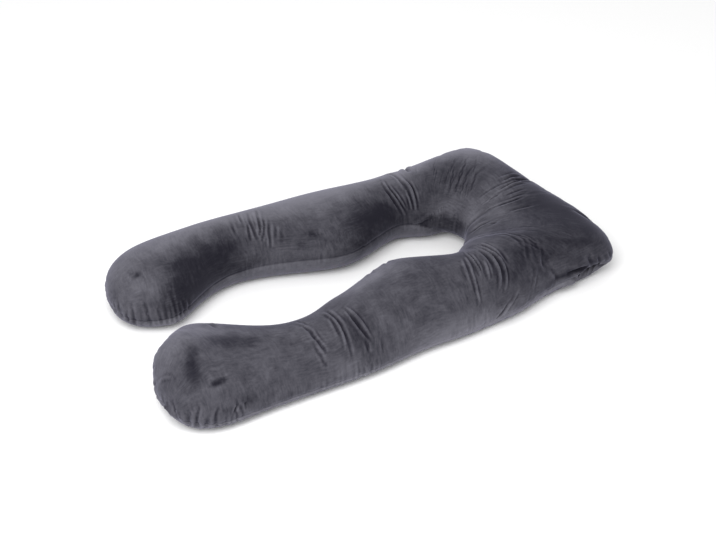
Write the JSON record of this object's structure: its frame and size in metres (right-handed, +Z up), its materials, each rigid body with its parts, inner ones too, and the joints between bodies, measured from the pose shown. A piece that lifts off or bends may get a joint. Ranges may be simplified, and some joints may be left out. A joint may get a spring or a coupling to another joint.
{
  "type": "body pillow",
  "caption": "U-shaped filled body pillow in dark plush: long arms with rounded feet join at a squared head end, around a gap for the body that narrows to a keyhole for the neck.",
  "frame": {"origin": "on the surface, under the middle of the pillow's outer box", "axes": "+X to the closed head end, +Y to the second arm, +Z up out of the top panel"},
  "size_m": [1.449, 0.7636, 0.1918],
  "materials": {
    "plush": "short-pile plush, matt with a soft sheen"
  },
  "bodies": {
    "root": {"pillow": "plush"}
  },
  "joints": []
}
